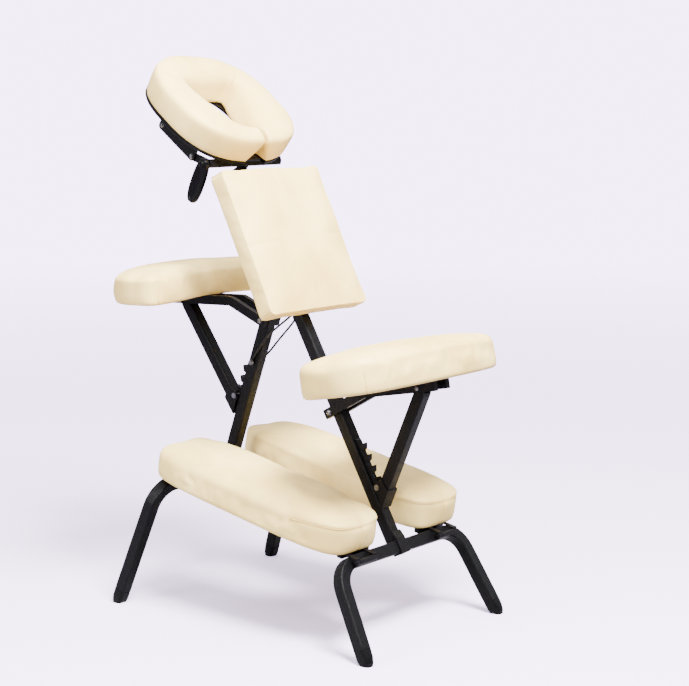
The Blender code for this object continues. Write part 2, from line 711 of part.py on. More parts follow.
class PropLine:
    """A prop's centreline: s runs down from its upper bolt, h away from the rack's tube."""

    def __init__(self, top, foot, side):
        self.start = axis_point(top)
        reach = axis_point(foot) - self.start
        turn = math.asin(PIN_OUT / reach.length)
        self.down = Matrix.Rotation(side * turn, 3, "X") @ reach.normalized()
        self.out = Vector((0.0, -side * self.down.z, side * self.down.y))
        self.length = reach.dot(self.down)

    def at(self, s, h=0.0):
        return self.start + self.down * s + self.out * h


# ---- knee pads ---------------------------------------------------------------------------
def knee_place(sign):
    return PadPlace(0.0, 0.3045, KNEE_TILT, sign * KNEE_X)


def knee_pivot():
    bar = REAR.at(REAR_BAR_S, REAR_BAR_OUT)
    return bar + Vector((0.0, 0.0245, 0.0060))


def make_knee_lug(side, sign, mats):
    """Block on the back of the rear crossbar, between the two knuckles of a knee pad's hinge."""
    pivot = knee_pivot()
    face = TUBE / 2 + GAP + REAR_BAR_OUT
    pivot_s, pivot_h = REAR.s_of(pivot.y, pivot.z), REAR.h_of(pivot.y, pivot.z)
    nose = []
    for i in range(9):
        angle = math.radians(-90 + 180 * i / 8)
        nose.append((pivot_s + 0.006 * math.sin(angle), pivot_h + 0.006 * math.cos(angle)))
    outline = [(pivot_s - 0.006, face)] + nose + [(pivot_s + 0.006, face)]
    points = [REAR.at(s, h) for s, h in outline]
    x = sign * KNEE_X
    lug = finish(f"knee_hinge_lug_{side}",
                 slab([(p.y, p.z) for p in points], x - 0.020, x + 0.020), mats["frame"], ROOT)
    pin = turned(f"knee_pin_{side}.guide", pivot + Vector((x, 0, 0)),
                 [(-0.0345, 0.0027), (-0.0335, 0.003), (0.0335, 0.003), (0.0345, 0.0027)],
                 None, ROOT)
    boolean(lug, pin, "UNION")


def make_knee(side, sign, mats):
    body = f"knee_{side}_body"
    place = knee_place(sign)
    outline = superellipse(0.090, 0.262, 4.5, 44)
    make_pad(f"knee_{side}", place, outline, KNEE_THICK, 0.010, 0.016, (0.012, 0.009), mats,
             body)
    pivot = knee_pivot()
    x = sign * KNEE_X
    under = place.at(0, 0, -KNEE_THICK - GAP)
    lift = (under - pivot).dot(place.w)
    back = (pivot - under).dot(place.v)
    leaf = []
    for i in range(9):
        angle = math.radians(-100 + 190 * i / 8)
        leaf.append((back + 0.0055 * math.cos(angle), -lift + 0.0055 * math.sin(angle)))
    leaf = [(back - 0.0055, -lift)] + leaf + [(back, 0.0), (back - 0.060, 0.0),
                                             (back - 0.060, -0.0020), (back - 0.010, -0.0020)]
    strap = [under + place.v * v + place.w * w for v, w in leaf]
    hinge = finish(f"knee_hinge_{side}",
                   slab([(p.y, p.z) for p in strap], x - 0.032, x + 0.032), mats["frame"], body)
    middle = [REAR.at(s, h) for s, h in ((0.10, 0.0), (0.30, 0.0), (0.30, 0.06), (0.10, 0.06))]
    slot = slab([(p.y, p.z) for p in middle], x - 0.0205, x + 0.0205)
    boolean(hinge, guide(f"knee_slot_{side}", slot, body))
    drill(hinge, f"knee_pin_bore_{side}", pivot + Vector((x, 0, 0)), 0.003 + GAP, 0.05, body)


# ---- chest pad -----------------------------------------------------------------------------
def make_chest(mats):
    body = "chest_body"
    outline = superellipse(0.151, 0.161, 12.0, 44)
    make_pad("chest", CHEST_PLACE, outline, CHEST_THICK, 0.009, 0.006, (0.014, 0.009), mats,
             body)
    half = TUBE / 2 + 2 * GAP
    outer = half + 0.003
    low, high = CHEST_SLIDE_S - 0.030, CHEST_SLIDE_S + 0.030
    back = [CHEST_PLACE.at(0, v, -CHEST_THICK - GAP) for v in (-0.030, 0.060)]
    points = [REAR.at(high, -outer), REAR.at(low, -outer), REAR.at(low, outer),
              back[1], back[0], REAR.at(high, outer)]
    sleeve = finish("chest_carriage", slab([(p.y, p.z) for p in points], -outer, outer),
                    mats["frame"], body)
    hole = [REAR.at(s, h) for s, h in ((low - 0.05, -half), (high + 0.05, -half),
                                       (high + 0.05, half), (low - 0.05, half))]
    boolean(sleeve, guide("carriage_bore", slab([(p.y, p.z) for p in hole], -half, half), body))
    knob("chest_knob", REAR.at(CHEST_SLIDE_S, -outer), -REAR.out, sleeve, body, mats)


# ---- knobs -----------------------------------------------------------------------------------
POST_KNOB_S = 0.985


def turned_along(start, axis, profile, sides):
    """A solid of revolution about any axis; profile is (distance, radius) pairs."""
    across = axis.cross(Vector((1.0, 0.0, 0.0))).normalized()
    other = axis.cross(across)
    rings = []
    for reach, radius in profile:
        ring = []
        for i in range(sides):
            angle = 2 * math.pi * i / sides
            ring.append(start + axis * reach
                        + radius * (across * math.cos(angle) + other * math.sin(angle)))
        rings.append(ring)
    bm = bmesh.new()
    skin_rings(bm, rings)
    return bm


def knob(name, start, axis, holder, body, mats, tip=0.0029, knob_body=None):
    """A clamp screw with a round grip; start is where its collar meets the holder."""
    profile = [(-tip, 0.0035), (0.0004, 0.0035), (0.0005, 0.007), (0.008, 0.007),
               (0.010, 0.013), (0.020, 0.013), (0.023, 0.009)]
    if holder:
        hole = turned_along(start - axis * 0.02, axis, [(0, 0.0042), (0.04, 0.0042)], 12)
        boolean(holder, guide(name + "_bore", hole, body))
    finish(name, turned_along(start, axis, profile, 16), mats["plastic"], knob_body or body)


# ---- face cradle -----------------------------------------------------------------------------
def make_cradle_post(mats):
    body = "cradle_post_body"
    inner = TUBE - 2 * WALL - 0.0014
    yoke_s = REAR.s_of(*YOKE_BAR)
    square_tube("cradle_post", [REAR.at(0.900), REAR.at(yoke_s - 0.011)], REAR.out,
                mats["frame"], body, inner)
    bar = slab(chamfered_bar(YOKE_BAR, 0.0075, 0.0090), -0.1095, 0.1095)
    yoke = finish("cradle_yoke", bar, mats["frame"], body)
    for side, sign in (("left", 1.0), ("right", -1.0)):
        ear = capsule((YOKE_BAR[0], YOKE_BAR[1]), CRADLE_PIVOT, 0.0088)
        lows = sorted((sign * 0.1055, sign * 0.1095))
        boolean(yoke, guide(f"yoke_ear_{side}", slab(ear, *lows), body), "UNION")
        drill(yoke, f"yoke_bore_{side}", axis_point(CRADLE_PIVOT, sign * 0.108), BOLT_R + GAP,
              0.010, body)
    drill(yoke, "lever_bore", axis_point(YOKE_BAR, 0.1095), BOLT_R + GAP, 0.012, body)
    post_plate = [REAR.at(yoke_s - 0.0105, -0.0125), REAR.at(yoke_s - 0.0105, 0.0125)]
    top = [REAR.at(yoke_s - 0.004, 0.0125), REAR.at(yoke_s - 0.004, -0.0125)]
    boolean(yoke, guide("yoke_foot", slab([(p.y, p.z) for p in post_plate + top],
                                          -0.0125, 0.0125), body), "UNION")


def chamfered_bar(centre, half_y, half_z):
    """Outline in (y, z) of a bar with chamfered corners."""
    y, z = centre
    cut = 0.002
    return [(y - half_y + cut, z - half_z), (y + half_y - cut, z - half_z),
            (y + half_y, z - half_z + cut), (y + half_y, z + half_z - cut),
            (y + half_y - cut, z + half_z), (y - half_y + cut, z + half_z),
            (y - half_y, z + half_z - cut), (y - half_y, z - half_z + cut)]


def cradle_rim(count):
    """Outer rim and inner rim of the horseshoe as matching (u, v) points, lobe to lobe."""
    rim = []
    for i in range(count + 1):
        t = i / count
        outer_angle = math.radians(86 - 352 * t)
        c, s = math.cos(outer_angle), math.sin(outer_angle)
        outer = (0.153 * math.copysign(abs(c) ** 0.8, c), 0.150 * math.copysign(abs(s) ** 0.8, s))
        turn = math.radians(9 + 342 * t)
        c, s = math.cos(turn), math.sin(turn)
        along = 0.082 * math.copysign(abs(c) ** 0.62, c)
        half = 0.050 - 0.27 * along
        inner = (half * math.copysign(abs(s) ** 0.62, s), 0.014 + along)
        rim.append((Vector(outer), Vector(inner)))
    return rim


def make_cradle_pad(mats):
    place = CRADLE_PLACE
    section = [(0.02, -1.0), (0.98, -1.0), (1.0, -0.96), (1.0, -0.22), (0.94, -0.02),
               (0.76, 0.14), (0.52, 0.20), (0.28, 0.12), (0.08, -0.06), (0.0, -0.25),
               (0.0, -0.96)]
    rings = []
    for outer, inner in cradle_rim(36):
        rings.append([place.at(*(inner.lerp(outer, across)), height * CRADLE_THICK)
                      for across, height in section])
    bm = bmesh.new()
    skin_rings(bm, rings)
    finish("cradle_pad", bm, mats["leather"], "face_cradle_body", 40)


def make_face_cradle(mats):
    body = "face_cradle_body"
    place = CRADLE_PLACE
    make_cradle_pad(mats)
    outer = superellipse(0.139, 0.139, 2.4, 36)
    hole = superellipse(0.055, 0.075, 2.2, 36)
    hole = [(u, v - 0.004) for u, v in hole]
    bm = bmesh.new()
    top, low = -CRADLE_THICK - GAP, -CRADLE_THICK - GAP - 0.005
    outside = skin_rings(bm, [[place.at(u, v, w) for u, v in outer] for w in (low, top)], False)
    inside = skin_rings(bm, [[place.at(u, v, w) for u, v in hole] for w in (low, top)], False)
    for a, b in zip(outside, inside):
        count = len(a)
        for i in range(count):
            j = (i + 1) % count
            bm.faces.new((a[i], a[j], b[j], b[i]))
    finish("cradle_plate", bm, mats["plastic"], body)
    pivot = axis_point(CRADLE_PIVOT) - place.centre
    pivot_v, pivot_w = pivot.dot(place.v), pivot.dot(place.w)
    front_v, front_w = pivot_v - 0.108, pivot_w - 0.002
    under = low - GAP
    nose = []
    for i in range(9):
        angle = math.radians(180 + 90 * i / 8)
        nose.append((front_v + 0.009 * math.cos(angle), front_w + 0.009 * math.sin(angle)))
    tail = []
    for i in range(9):
        angle = math.radians(270 + 120 * i / 8)
        tail.append((pivot_v + 0.009 * math.cos(angle), pivot_w + 0.009 * math.sin(angle)))
    profile = [(front_v - 0.009, under)] + nose + tail + [(pivot_v + 0.004, under)]
    points = [place.at(0, v, w) for v, w in profile]
    front = place.at(0, front_v, front_w)
    for side, sign in (("left", 1.0), ("right", -1.0)):
        lows = sorted((sign * RAIL_X[0], sign * RAIL_X[1]))
        rail = finish(f"cradle_rail_{side}", slab([(p.y, p.z) for p in points], *lows),
                      mats["frame"], body)
        drill(rail, f"rail_bore_{side}", axis_point(CRADLE_PIVOT, sign * 0.112), BOLT_R + GAP,
              0.010, body)
        drill(rail, f"rail_front_bore_{side}", front + Vector((sign * 0.112, 0, 0)),
              0.003 + GAP, 0.010, body)
        turned(f"cradle_pivot_bolt_{side}", axis_point(CRADLE_PIVOT, 0),
               mirrored([(0.1030, 0.0065), (0.1051, 0.0065), (0.1052, BOLT_R), (0.1142, BOLT_R),
                         (0.1143, 0.0075), (0.1165, 0.0075), (0.1180, 0.0045)], sign),
               mats["zinc"], "cradle_post_body")
        turned(f"cradle_rail_bolt_{side}", Vector((0, front.y, front.z)),
               mirrored([(0.1060, 0.0055), (0.1096, 0.0055), (0.1097, 0.003), (0.1142, 0.003),
                         (0.1143, 0.0070), (0.1165, 0.0070), (0.1178, 0.0045)], sign),
               mats["zinc"], body)


def mirrored(profile, sign):
    return profile if sign > 0 else [(-x, r) for x, r in reversed(profile)]


def make_cam_lever(mats):
    """Paddle lever on the yoke's near end, hanging down and forward."""
    body = "cam_lever_body"
    pivot = Vector(YOKE_BAR)
    down = (Vector(LEVER_TIP) - pivot).normalized()
    side = Vector((-down.y, down.x))
    length = (Vector(LEVER_TIP) - pivot).length
    outline = []
    for i in range(24):
        angle = 2 * math.pi * i / 24
        along = math.cos(angle)
        width = 0.0132 + 0.0030 * math.sin(math.pi * (along + 1) / 2 * 0.9)
        reach = length / 2 + (length / 2 + 0.011) * math.copysign(abs(along) ** 0.75, along)
        spread = width * math.copysign(abs(math.sin(angle)) ** 0.6, math.sin(angle))
        outline.append(pivot + down * reach + side * spread)
    lever = finish("cam_lever", slab([tuple(p) for p in outline], 0.1150, 0.1270),
                   mats["plastic"], body)
    drill(lever, "cam_bore", axis_point(YOKE_BAR, 0.121), BOLT_R + GAP, 0.012, body)
    turned("cam_lever_bolt", axis_point(YOKE_BAR),
           [(0.1020, BOLT_R), (0.1273, BOLT_R), (0.1274, 0.0075), (0.1300, 0.0070),
            (0.1312, 0.0045)], mats["plastic"], "cradle_post_body")


# ---- the whole chair -----------------------------------------------------------------------
def main():
    clear_scene()
    make_bodies()
    mats = make_materials()
    make_rear_frame(mats)
    make_front_frame(mats)
    make_stay_cable(mats)
    make_seat(mats)
    make_armrest(mats)
    make_chest(mats)
    for side, sign in (("left", 1.0), ("right", -1.0)):
        make_knee(side, sign, mats)
    make_cradle_post(mats)
    knob("post_knob", REAR.at(POST_KNOB_S, -TUBE / 2), -REAR.out, None, ROOT, mats,
         0.0012, "post_knob_body")
    make_face_cradle(mats)
    make_cam_lever(mats)


main()
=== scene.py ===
"""Looks of the kneeling massage chair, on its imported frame.

Metres, +Z up. The sitter faces -Y, and X is across the chair.
"""

import json
import math

import bmesh
import bpy
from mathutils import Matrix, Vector, noise


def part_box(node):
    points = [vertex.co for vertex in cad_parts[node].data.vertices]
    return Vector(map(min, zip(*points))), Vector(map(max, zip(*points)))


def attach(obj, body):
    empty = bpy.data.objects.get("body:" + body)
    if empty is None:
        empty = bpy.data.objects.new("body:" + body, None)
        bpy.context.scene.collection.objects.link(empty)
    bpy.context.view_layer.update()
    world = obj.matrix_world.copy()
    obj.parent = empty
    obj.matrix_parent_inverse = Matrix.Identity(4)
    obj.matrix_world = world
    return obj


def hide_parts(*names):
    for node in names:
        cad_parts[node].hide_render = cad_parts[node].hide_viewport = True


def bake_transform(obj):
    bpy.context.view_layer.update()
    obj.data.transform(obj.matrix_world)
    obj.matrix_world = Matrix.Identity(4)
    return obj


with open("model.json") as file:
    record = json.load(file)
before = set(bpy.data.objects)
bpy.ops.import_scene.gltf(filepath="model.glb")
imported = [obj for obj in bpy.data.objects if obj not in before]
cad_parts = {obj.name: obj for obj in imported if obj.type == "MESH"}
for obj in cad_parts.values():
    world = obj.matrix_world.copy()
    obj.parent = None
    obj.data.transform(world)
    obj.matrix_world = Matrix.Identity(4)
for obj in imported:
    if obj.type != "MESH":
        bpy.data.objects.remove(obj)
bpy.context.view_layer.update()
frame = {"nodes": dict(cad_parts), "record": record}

MID_Y = 0.0406            # the frame's own shift from midway between the feet
GAP = 0.0003

REAR_FLOOR_Y = 0.3343 + MID_Y
REAR_LEAN = math.radians(29.6)
FRONT_LEAN = math.radians(20.0)
UP = Vector((0.0, -math.sin(REAR_LEAN), math.cos(REAR_LEAN)))      # up the main beam
OUT = Vector((0.0, math.cos(REAR_LEAN), math.sin(REAR_LEAN)))      # out of its rear face


# ---- node helpers --------------------------------------------------------------------------
def new_material(name):
    material = bpy.data.materials.new(name)
    material.use_nodes = True
    tree = material.node_tree
    return material, tree, tree.nodes["Principled BSDF"]


def node(tree, kind, **values):
    made = tree.nodes.new(kind)
    for key, value in values.items():
        if key in made.inputs:
            made.inputs[key].default_value = value
        else:
            setattr(made, key, value)
    return made


def object_coords(tree):
    return node(tree, "ShaderNodeTexCoord").outputs["Object"]


def ramp(tree, source, stops):
    made = tree.nodes.new("ShaderNodeValToRGB")
    elements = made.color_ramp.elements
    while len(elements) < len(stops):
        elements.new(0.5)
    for element, (at, colour) in zip(elements, stops):
        element.position = at
        element.color = (*colour, 1.0)
    tree.links.new(source, made.inputs["Fac"])
    return made.outputs["Color"]


def grey_range(tree, source, low, high):
    made = node(tree, "ShaderNodeMapRange", **{"To Min": low, "To Max": high})
    tree.links.new(source, made.inputs["Value"])
    return made.outputs["Result"]


def bumps(tree, shader, layers):
    """Chains bump layers, each (height output, strength, distance in metres), into the shader."""
    normal = None
    for height, strength, distance in layers:
        bump = node(tree, "ShaderNodeBump", Strength=strength, Distance=distance)
        tree.links.new(height, bump.inputs["Height"])
        if normal:
            tree.links.new(normal, bump.inputs["Normal"])
        normal = bump.outputs["Normal"]
    tree.links.new(normal, shader.inputs["Normal"])


def leather_material():
    """Soft PU leather: pebbled grain with fine creases, a little cloudy in colour and gloss."""
    material, tree, shader = new_material("cream_leather")
    coords = object_coords(tree)
    cloud = node(tree, "ShaderNodeTexNoise", Scale=7.0, Detail=3.0, Roughness=0.55)
    pebble = node(tree, "ShaderNodeTexVoronoi", Scale=480.0, feature="F1")
    crease = node(tree, "ShaderNodeTexNoise", Scale=260.0, Detail=3.0, Roughness=0.6)
    for texture in (cloud, pebble, crease):
        tree.links.new(coords, texture.inputs["Vector"])
    colour = ramp(tree, cloud.outputs["Fac"], (
        (0.34, (0.740, 0.520, 0.150)), (0.62, (0.910, 0.675, 0.240))))
    tree.links.new(colour, shader.inputs["Base Color"])
    tree.links.new(grey_range(tree, cloud.outputs["Fac"], 0.56, 0.40), shader.inputs["Roughness"])
    shader.inputs["Specular IOR Level"].default_value = 0.35
    bumps(tree, shader, (
        (pebble.outputs["Distance"], 0.22, 0.0005),
        (crease.outputs["Fac"], 0.16, 0.0006)))
    return material


def powder_material():
    """Black sandtex powder coat with rubbed patches; its grain specks are painted lighter, as
    painted glints.
    """
    material, tree, shader = new_material("powder_coat")
    coords = object_coords(tree)
    grain_and_glints = node(tree, "ShaderNodeTexNoise", Scale=850.0, Detail=3.0, Roughness=0.7)
    rub = node(tree, "ShaderNodeTexNoise", Scale=26.0, Detail=4.0, Roughness=0.65)
    for texture in (grain_and_glints, rub):
        tree.links.new(coords, texture.inputs["Vector"])
    # painted glints: the grain's specks are painted grey on every face, in place of the light the
    # grit tips catch
    colour = ramp(tree, grain_and_glints.outputs["Fac"], (
        (0.48, (0.0012, 0.0011, 0.0014)), (0.60, (0.0040, 0.0037, 0.0046)),
        (0.72, (0.030, 0.028, 0.034))))
    tree.links.new(colour, shader.inputs["Base Color"])
    tree.links.new(grey_range(tree, rub.outputs["Fac"], 0.26, 0.46), shader.inputs["Roughness"])
    shader.inputs["Specular IOR Level"].default_value = 0.10
    bumps(tree, shader, ((grain_and_glints.outputs["Fac"], 0.65, 0.0007),))
    return material


def plastic_material():
    """Moulded black plastic, glossy, with faint flow marks and scuffs."""
    material, tree, shader = new_material("black_plastic")
    coords = object_coords(tree)
    flow = node(tree, "ShaderNodeTexNoise", Scale=30.0, Detail=3.0)
    scuff = node(tree, "ShaderNodeTexNoise", Scale=300.0, Detail=4.0, Roughness=0.8)
    for texture in (flow, scuff):
        tree.links.new(coords, texture.inputs["Vector"])
    colour = ramp(tree, scuff.outputs["Fac"], (
        (0.5, (0.0012, 0.0011, 0.0014)), (0.8, (0.006, 0.006, 0.007))))
    tree.links.new(colour, shader.inputs["Base Color"])
    tree.links.new(grey_range(tree, flow.outputs["Fac"], 0.16, 0.32), shader.inputs["Roughness"])
    shader.inputs["Specular IOR Level"].default_value = 0.12
    bumps(tree, shader, ((scuff.outputs["Fac"], 0.08, 0.0003),))
    return material


def zinc_material():
    """Bright zinc plate with a fine turned grain and faint stains."""
    material, tree, shader = new_material("zinc_steel")
    coords = object_coords(tree)
    grain = node(tree, "ShaderNodeTexNoise", Scale=420.0, Detail=3.0)
    stain = node(tree, "ShaderNodeTexNoise", Scale=90.0, Detail=4.0)
    for texture in (grain, stain):
        tree.links.new(coords, texture.inputs["Vector"])
    colour = ramp(tree, stain.outputs["Fac"], (
        (0.35, (0.11, 0.11, 0.12)), (0.65, (0.26, 0.26, 0.27))))
    tree.links.new(colour, shader.inputs["Base Color"])
    tree.links.new(grey_range(tree, grain.outputs["Fac"], 0.20, 0.42), shader.inputs["Roughness"])
    shader.inputs["Metallic"].default_value = 1.0
    bumps(tree, shader, ((grain.outputs["Fac"], 0.10, 0.0002),))
    return material


def plywood_material():
    """Birch plywood: long grain on the faces and thin glue lines through the thickness."""
    material, tree, shader = new_material("plywood")
    coords = object_coords(tree)
    stretch = node(tree, "ShaderNodeMapping")
    stretch.inputs["Scale"].default_value = (1.0, 12.0, 12.0)
    tree.links.new(coords, stretch.inputs["Vector"])
    grain = node(tree, "ShaderNodeTexNoise", Scale=16.0, Detail=5.0, Roughness=0.6)
    plies = node(tree, "ShaderNodeTexWave", Scale=95.0, Distortion=1.2, bands_direction="Z")
    tree.links.new(stretch.outputs["Vector"], grain.inputs["Vector"])
    tree.links.new(coords, plies.inputs["Vector"])
    colour = ramp(tree, grain.outputs["Fac"], (
        (0.30, (0.22, 0.13, 0.06)), (0.55, (0.38, 0.25, 0.13)), (0.75, (0.46, 0.33, 0.19))))
    tree.links.new(colour, shader.inputs["Base Color"])
    tree.links.new(grey_range(tree, grain.outputs["Fac"], 0.85, 0.65), shader.inputs["Roughness"])
    bumps(tree, shader, ((grain.outputs["Fac"], 0.30, 0.0006),
                         (plies.outputs["Fac"], 0.08, 0.0004)))
    return material


def cable_material():
    """Black plastic-coated wire rope: the twisted strands show through the coat."""
    material, tree, shader = new_material("coated_cable")
    coords = object_coords(tree)
    strands = node(tree, "ShaderNodeTexWave", Scale=420.0, Distortion=0.6,
                   bands_direction="DIAGONAL")
    grime = node(tree, "ShaderNodeTexNoise", Scale=160.0, Detail=3.0)
    tree.links.new(coords, strands.inputs["Vector"])
    tree.links.new(coords, grime.inputs["Vector"])
    colour = ramp(tree, grime.outputs["Fac"], (
        (0.4, (0.0014, 0.0014, 0.0016)), (0.7, (0.007, 0.007, 0.008))))
    tree.links.new(colour, shader.inputs["Base Color"])
    tree.links.new(grey_range(tree, grime.outputs["Fac"], 0.30, 0.50), shader.inputs["Roughness"])
    shader.inputs["Specular IOR Level"].default_value = 0.2
    bumps(tree, shader, ((strands.outputs["Fac"], 0.4, 0.0004),))
    return material


def thread_material():
    """Cream polyester thread, a shade darker than the leather, with its twist."""
    material, tree, shader = new_material("cream_thread")
    twist = node(tree, "ShaderNodeTexWave", Scale=700.0, Distortion=0.4,
                 bands_direction="DIAGONAL")
    tree.links.new(object_coords(tree), twist.inputs["Vector"])
    colour = ramp(tree, twist.outputs["Fac"], (
        (0.2, (0.46, 0.31, 0.09)), (0.8, (0.64, 0.46, 0.16))))
    tree.links.new(colour, shader.inputs["Base Color"])
    shader.inputs["Roughness"].default_value = 0.6
    bumps(tree, shader, ((twist.outputs["Fac"], 0.4, 0.0003),))
    return material


MATS = {
    "cream_leather": leather_material(),
    "powder_coat": powder_material(),
    "black_plastic": plastic_material(),
    "zinc_steel": zinc_material(),
    "plywood": plywood_material(),
    "coated_cable": cable_material(),
}
THREAD = thread_material()
SLOT_OF = {entry["node"]: entry["material_slot"] for entry in frame["record"]["subparts"]}


def dress_frame():
    """Gives every node of the frame the detailed material of its own slot."""
    for name, obj in frame["nodes"].items():
        for slot in obj.material_slots:
            slot.material = MATS[SLOT_OF[name]]


def add_piece(name, bm, slot, body, smooth_deg=180.0, replaces=None):
    """A piece that rides on a body, and stands in for a plain node of the frame if told to."""
    piece = add_mesh(name, bm, MATS[slot], smooth_deg)
    if replaces:
        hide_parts(replaces)
    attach(piece, body)
    return piece


# ---- mesh helpers ----------------------------------------------------------------------------
def add_mesh(name, bm, material, smooth_deg=180.0):
    bmesh.ops.recalc_face_normals(bm, faces=bm.faces)
    mesh = bpy.data.meshes.new(name)
    bm.to_mesh(mesh)
    bm.free()
    mesh.shade_smooth()
    if smooth_deg < 180.0:
        mesh.set_sharp_from_angle(angle=math.radians(smooth_deg))
    mesh.materials.append(material)
    obj = bpy.data.objects.new(name, mesh)
    bpy.context.collection.objects.link(obj)
    return obj


def skin(bm, rings, cap_first=True, cap_last=True):
    loops = [[bm.verts.new(point) for point in ring] for ring in rings]
    for low, high in zip(loops, loops[1:]):
        count = len(low)
        for i in range(count):
            j = (i + 1) % count
            bm.faces.new((low[i], low[j], high[j], high[i]))
    if cap_first:
        bm.faces.new(list(reversed(loops[0])))
    if cap_last:
        bm.faces.new(loops[-1])
    return loops


def subdivide(obj, levels=1):
    modifier = obj.modifiers.new("smooth", "SUBSURF")
    modifier.levels = levels
    modifier.render_levels = levels


def round_tube(path, radius, sides=8):
    """Rings square to a path of points, without twist."""
    rings = []
    count = len(path)
    first = path[1] - path[0]
    across = first.orthogonal().normalized()
    for i, point in enumerate(path):
        along = (path[min(i + 1, count - 1)] - path[max(i - 1, 0)]).normalized()
        across = (across - along * across.dot(along)).normalized()
        other = along.cross(across)
        rings.append([point + radius * (across * math.cos(2 * math.pi * k / sides)
                                        + other * math.sin(2 * math.pi * k / sides))
                      for k in range(sides)])
    bm = bmesh.new()
    skin(bm, rings)
    return bm


def smooth_curve(knots, steps):
    """Points of a Catmull-Rom curve through the knots."""
    padded = [2 * knots[0] - knots[1]] + knots + [2 * knots[-1] - knots[-2]]
    points = []
    for a, b, c, d in zip(padded, padded[1:], padded[2:], padded[3:]):
        for i in range(steps):
            t = i / steps
            points.append(0.5 * (2 * b + (c - a) * t + (2 * a - 5 * b + 4 * c - d) * t ** 2
                                 + (3 * b - a - 3 * c + d) * t ** 3))
    return points + [knots[-1]]


# ---- cushions --------------------------------------------------------------------------------
SPACING = 0.0065          # between neighbouring points round a cover
TOP_RINGS = 11
BOARD_THICK = 0.009       # the plywood let into a pad's back
BOARD_LIP = 0.020         # how far the pocket's floor runs in under the board
SEAM_RADIUS = 0.0008
EDGE_STEPS = 5            # rings round the top edge
CLOTH_FRAMES = 20


class PadPlace:
    """A pad's own frame: u is across the chair, v runs along the pad, w is out of its top."""

    def __init__(self, y, z, tilt_deg, x=0.0):
        self.centre = Vector((x, y + MID_Y, z))
        tilt = math.radians(tilt_deg)
        self.v = Vector((0.0, math.cos(tilt), math.sin(tilt)))
        self.w = Vector((0.0, -math.sin(tilt), math.cos(tilt)))

    def at(self, u, v, w):
        return self.centre + Vector((u, 0.0, 0.0)) + self.v * v + self.w * w

    def local(self, point):
        offset = point - self.centre
        return offset.x, offset.dot(self.v), offset.dot(self.w)


def superellipse(half_u, half_v, power, count=720):
    points = []
    for i in range(count):
        angle = 2 * math.pi * (i + 0.5) / count
        c, s = math.cos(angle), math.sin(angle)
        points.append((half_u * math.copysign(abs(c) ** (2 / power), c),
                       half_v * math.copysign(abs(s) ** (2 / power), s)))
    return points


def pinch(outline, depth):
    """Draws the four sides of an outline inwards between its corners."""
    half_u = max(u for u, _ in outline)
    half_v = max(v for _, v in outline)
    return [(u * (1 - depth / half_u * (1 - (v / half_v) ** 2)),
             v * (1 - depth / half_v * (1 - (u / half_u) ** 2))) for u, v in outline]


def kidney(outline, sweep, hollow, reach):
    """Sweeps an outline's ends towards +v, and hollows the middle of its +v side."""
    half_u = max(u for u, _ in outline)
    points = []
    for u, v in outline:
        dip = hollow * math.cos(math.pi * u / (2 * reach)) ** 2 if v > 0 and abs(u) < reach else 0
        points.append((u, v + sweep * (u / half_u) ** 2 - dip))
    return points


def even_outline(outline, spacing):
    """The same closed outline with its points spaced evenly."""
    closed = outline + [outline[0]]
    lengths = [0.0]
    for a, b in zip(closed, closed[1:]):
        lengths.append(lengths[-1] + (Vector(b) - Vector(a)).length)
    count = int(lengths[-1] / spacing)
    points = []
    k = 0
    for i in range(count):
        target = lengths[-1] * i / count
        while lengths[k + 1] < target:
            k += 1
        share = (target - lengths[k]) / (lengths[k + 1] - lengths[k])
        points.append(tuple(Vector(closed[k]).lerp(Vector(closed[k + 1]), share)))
    return points


def inwards(outline):
    """Unit directions into an outline at each of its points."""
    count = len(outline)
    result = []
    for i in range(count):
        along = (Vector(outline[(i + 1) % count]) - Vector(outline[i - 1])).normalized()
        result.append(Vector((-along.y, along.x)))
    return result


def inset(outline, distance):
    return [tuple(Vector(point) + inward * distance)
            for point, inward in zip(outline, inwards(outline))]


class Cushion:
    """A padded cover in rings: the board's pocket, the sides up to the top seam, then the top."""

    def __init__(self, name, place, outline, thick, crown, edge, rows, board=0.012, centre_v=0.0):
        """edge is the top's edge rounding, a number or a function of (u, v)."""
        self.name = name
        self.place = place
        self.outline = even_outline(outline, SPACING)
        self.count = len(self.outline)
        self.back_rings = 5
        self.seam_ring = self.back_rings + rows - 1
        centre = Vector((0.0, centre_v))
        columns = []
        for (u, v), inward in zip(self.outline, inwards(self.outline)):
            soft = edge(u, v) if callable(edge) else edge
            steps = [(board + BOARD_LIP, -thick + BOARD_THICK + GAP),
                     (board - GAP, -thick + BOARD_THICK + GAP), (board - GAP, -thick),
                     (0.006, -thick), (0.0012, -thick + 0.003)]
            steps += [(0.0, -thick + 0.003 + (thick - soft - 0.003) * i / rows)
                      for i in range(1, rows + 1)]
            steps += [(soft * (1 - math.cos(turn)), -soft * (1 - math.sin(turn)))
                      for turn in (math.pi / 2 * i / EDGE_STEPS for i in range(1, EDGE_STEPS + 1))]
            base = Vector((u, v))
            column = [place.at(*(base + inward * step), w) for step, w in steps]
            rim = base + inward * soft
            for k in range(1, TOP_RINGS + 1):
                scale = 1 - k / (TOP_RINGS + 0.6)
                column.append(place.at(*centre.lerp(rim, scale), crown * (1 - scale ** 2.4)))
            columns.append(column)
        self.rings = [[column[k] for column in columns] for k in range(len(columns[0]))]
        self.peak = place.at(0.0, centre_v, crown)

    def build(self):
        bm = bmesh.new()
        top = skin(bm, self.rings, True, False)[-1]
        peak = bm.verts.new(self.peak)
        for i, vert in enumerate(top):
            bm.faces.new((vert, top[(i + 1) % len(top)], peak))
        self.obj = add_mesh(self.name, bm, MATS["cream_leather"])

    def ring(self, number):
        return range(number * self.count, (number + 1) * self.count)

    def vertex(self, ring, i):
        return self.obj.data.vertices[ring * self.count + i % self.count]

    def nearest(self, u, v):
        return min(range(self.count),
                   key=lambda i: (Vector(self.outline[i]) - Vector((u, v))).length)


